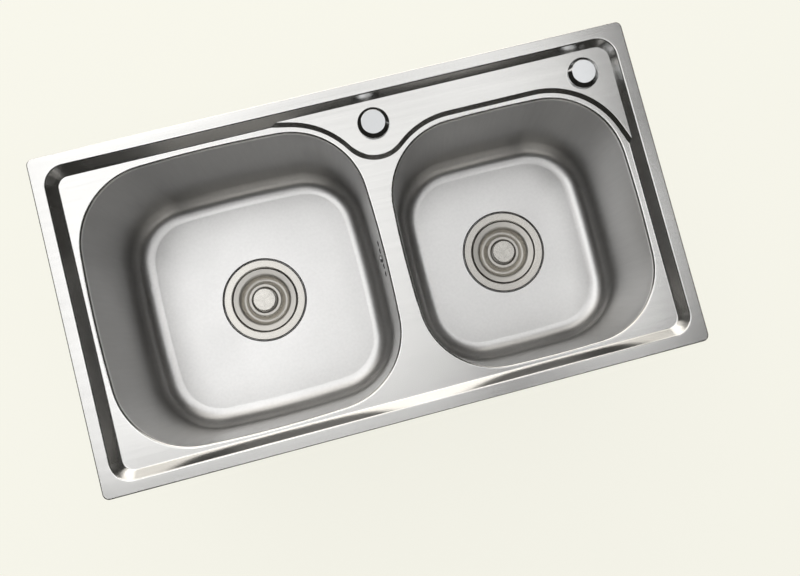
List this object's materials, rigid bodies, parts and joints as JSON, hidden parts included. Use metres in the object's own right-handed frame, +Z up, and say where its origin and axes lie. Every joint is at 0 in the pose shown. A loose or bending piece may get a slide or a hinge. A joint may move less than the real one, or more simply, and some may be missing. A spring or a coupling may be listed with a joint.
{
  "type": "double bowl kitchen sink",
  "caption": "Stainless drop-in kitchen sink with a larger and a smaller bowl, a raised wavy tap deck, covered tap holes, lift-out basket strainers, overflow and worktop clips.",
  "frame": {"origin": "middle of the plane where the rim sits on the worktop", "axes": "+X along the sink's length towards the smaller bowl, +Y towards the tap side at the back, +Z up"},
  "size_m": [0.72, 0.4, 0.326],
  "materials": {
    "panel_steel": "satin",
    "bowl_steel": "satin",
    "strainer_steel": "satin",
    "cap_chrome": "polished",
    "knob_steel": "brushed",
    "black_rubber": "matt",
    "seal_foam": "matt",
    "friction_card": "matt",
    "white_plastic": "matt",
    "black_plastic": "matt",
    "fixing_steel": "zinc plated",
    "pad_rubber": "matt"
  },
  "bodies": {
    "sink": {"clip_brackets": "fixing_steel", "clip_screws": "fixing_steel", "left_bowl": "bowl_steel", "left_flange_gasket": "black_rubber", "left_floor_gasket": "black_rubber", "left_friction_ring": "friction_card", "left_lock_nut": "white_plastic", "left_outlet_housing": "white_plastic", "left_outlet_seal": "black_rubber", "left_sound_pad": "pad_rubber", "left_strainer_body": "strainer_steel", "middle_tap_cap": "cap_chrome", "overflow_box": "black_plastic", "overflow_gasket": "black_rubber", "overflow_pipe": "white_plastic", "overflow_screw": "fixing_steel", "right_bowl": "bowl_steel", "right_flange_gasket": "black_rubber", "right_floor_gasket": "black_rubber", "right_friction_ring": "friction_card", "right_lock_nut": "white_plastic", "right_outlet_housing": "white_plastic", "right_outlet_seal": "black_rubber", "right_sound_pad": "pad_rubber", "right_strainer_body": "strainer_steel", "right_tap_cap": "cap_chrome", "rim_seal": "seal_foam", "tap_cap_gaskets": "black_rubber", "tap_cap_washers": "white_plastic", "tap_cap_wing_nuts": "white_plastic", "top_panel": "panel_steel", "worktop_clips": "fixing_steel"},
    "left_basket_unit": {"left_basket": "strainer_steel", "left_basket_knob": "knob_steel", "left_basket_stopper": "black_rubber"},
    "right_basket_unit": {"right_basket": "strainer_steel", "right_basket_knob": "knob_steel", "right_basket_stopper": "black_rubber"}
  },
  "joints": [
    {"name": "left_basket_lift", "type": "slide", "parent": "sink", "child": "left_basket_unit", "axis": [0, 0, 1], "range_m": [0, 0.06]},
    {"name": "right_basket_lift", "type": "slide", "parent": "sink", "child": "right_basket_unit", "axis": [0, 0, 1], "range_m": [0, 0.06]}
  ]
}
